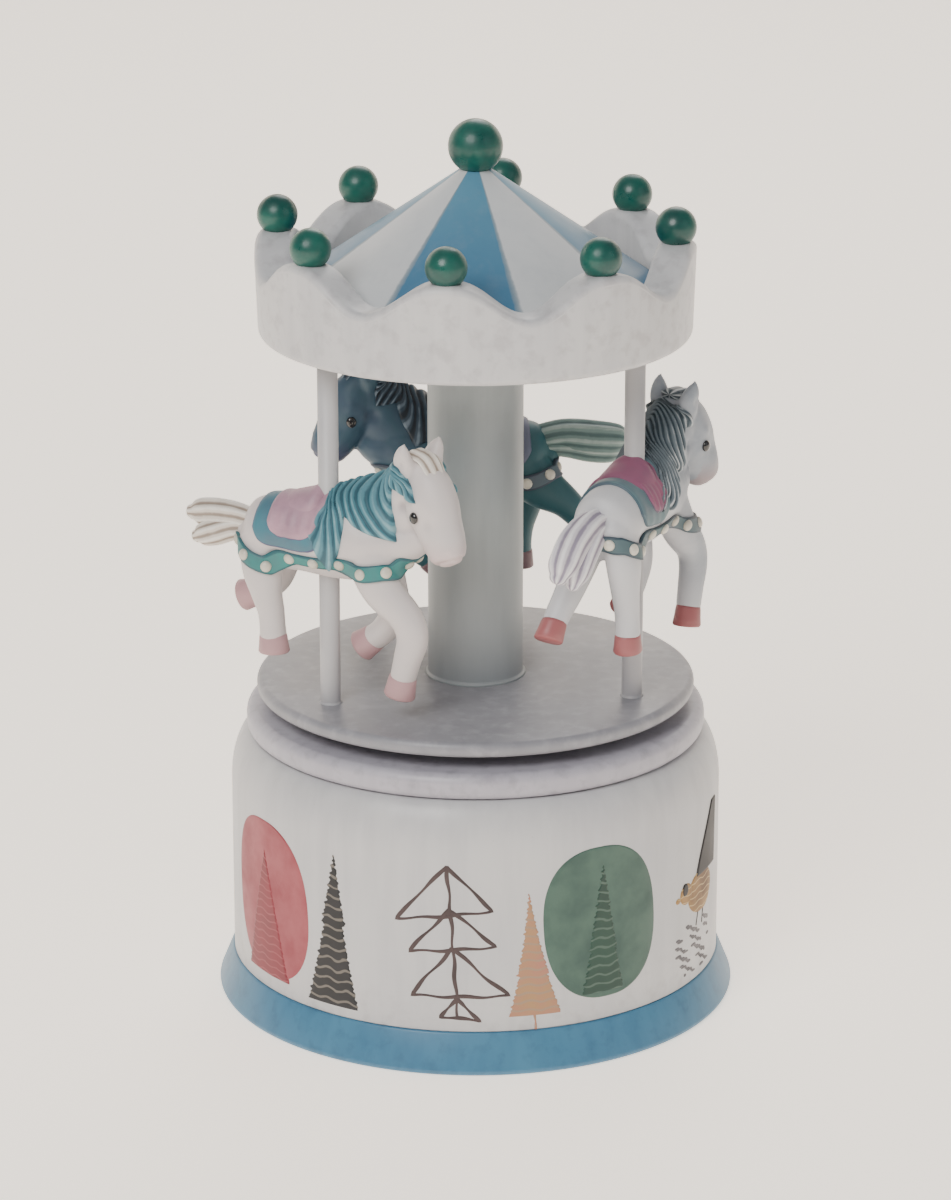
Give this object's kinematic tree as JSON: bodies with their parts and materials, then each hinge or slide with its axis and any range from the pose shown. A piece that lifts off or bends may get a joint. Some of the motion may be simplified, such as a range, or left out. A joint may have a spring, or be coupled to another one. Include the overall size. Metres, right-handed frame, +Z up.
{
  "type": "carousel music box",
  "caption": "Painted wooden drum with a wind-up musical movement, carrying a turning platform with a column, horses on poles and a scalloped canopy with a striped roof.",
  "frame": {"origin": "on the turning axis, at the level of the underside that the box stands on", "axes": "+Z up along the turning axis; the front, with the drum's painted trees, is towards -Y; +X to the right"},
  "size_m": [0.1105, 0.105, 0.1774],
  "materials": {
    "white_paint": "satin white paint over wood",
    "grey_paint": "satin pale grey paint over wood",
    "blue_paint": "satin blue paint over wood",
    "striped_paint": "satin paint over wood in blue and white wedges",
    "green_lacquer": "glossy dark green lacquer over wood",
    "white_resin": "hand-painted cast resin, white",
    "green_resin": "hand-painted cast resin, dark green",
    "bare_wood": "bare beech",
    "brass": "turned brass",
    "cast_zinc": "die-cast zinc, matt",
    "bright_steel": "bright turned steel",
    "spring_steel": "blued spring steel",
    "dark_screws": "dark plated steel",
    "ivory_plastic": "moulded acetal"
  },
  "bodies": {
    "base": {"foot_disc": "blue_paint", "drum_body": "white_paint", "drum_lid": "white_paint", "lid_bush": "brass", "bedplate": "cast_zinc", "bedplate_screws": "dark_screws", "inner_bracket": "cast_zinc", "outer_bracket": "cast_zinc", "governor_bracket": "cast_zinc", "bracket_screws": "dark_screws", "tuned_comb": "spring_steel", "comb_screws": "dark_screws", "click_spring": "spring_steel"},
    "winder": {"winding_key": "brass", "spring_arbor": "bright_steel", "ratchet_wheel": "brass"},
    "turntable": {"spring_barrel": "bright_steel", "mainspring": "spring_steel", "great_wheel": "brass", "drive_shaft": "bright_steel", "turntable_hub": "brass", "hub_screws": "dark_screws", "platform": "grey_paint", "column": "white_paint", "canopy_crown": "white_paint", "canopy_roof": "striped_paint", "finial_dowel": "bare_wood", "finial_ball": "green_lacquer", "crown_ball_1": "green_lacquer", "crown_ball_2": "green_lacquer", "crown_ball_3": "green_lacquer", "crown_ball_4": "green_lacquer", "crown_ball_5": "green_lacquer", "crown_ball_6": "green_lacquer", "crown_ball_7": "green_lacquer", "crown_ball_8": "green_lacquer", "pole_1": "white_paint", "pole_2": "white_paint", "pole_3": "white_paint", "horse_1": "white_resin", "horse_2": "white_resin", "horse_3": "green_resin"},
    "note_cylinder": {"pinned_cylinder": "brass", "cylinder_arbor": "bright_steel", "cylinder_pinion": "brass", "cylinder_wheel": "brass"},
    "governor": {"governor_arbor": "bright_steel", "worm_wheel": "ivory_plastic"},
    "fan": {"worm_shaft": "bright_steel", "air_fan": "ivory_plastic"}
  },
  "joints": [
    {"name": "platform_turn", "type": "hinge", "parent": "base", "child": "turntable", "pos_m": [0, 0, 0.06], "axis": [0, 0, 1], "continuous": true},
    {"name": "key_turn", "type": "hinge", "parent": "base", "child": "winder", "pos_m": [0, 0, 0.012], "axis": [0, 0, 1], "continuous": true},
    {"name": "cylinder_turn", "type": "hinge", "parent": "base", "child": "note_cylinder", "pos_m": [0.025, 0, 0.03479], "axis": [1, 0, 0], "continuous": true},
    {"name": "governor_turn", "type": "hinge", "parent": "base", "child": "governor", "pos_m": [0.03, 0.012, 0.03479], "axis": [1, 0, 0], "continuous": true},
    {"name": "fan_turn", "type": "hinge", "parent": "base", "child": "fan", "pos_m": [0.03, 0.01758, 0.03], "axis": [0, 0, 1], "continuous": true}
  ],
  "couplings": [
    {"joint": "cylinder_turn", "follows": "platform_turn", "ratio": 2.5},
    {"joint": "governor_turn", "follows": "platform_turn", "ratio": -7.5},
    {"joint": "fan_turn", "follows": "platform_turn", "ratio": 150}
  ]
}
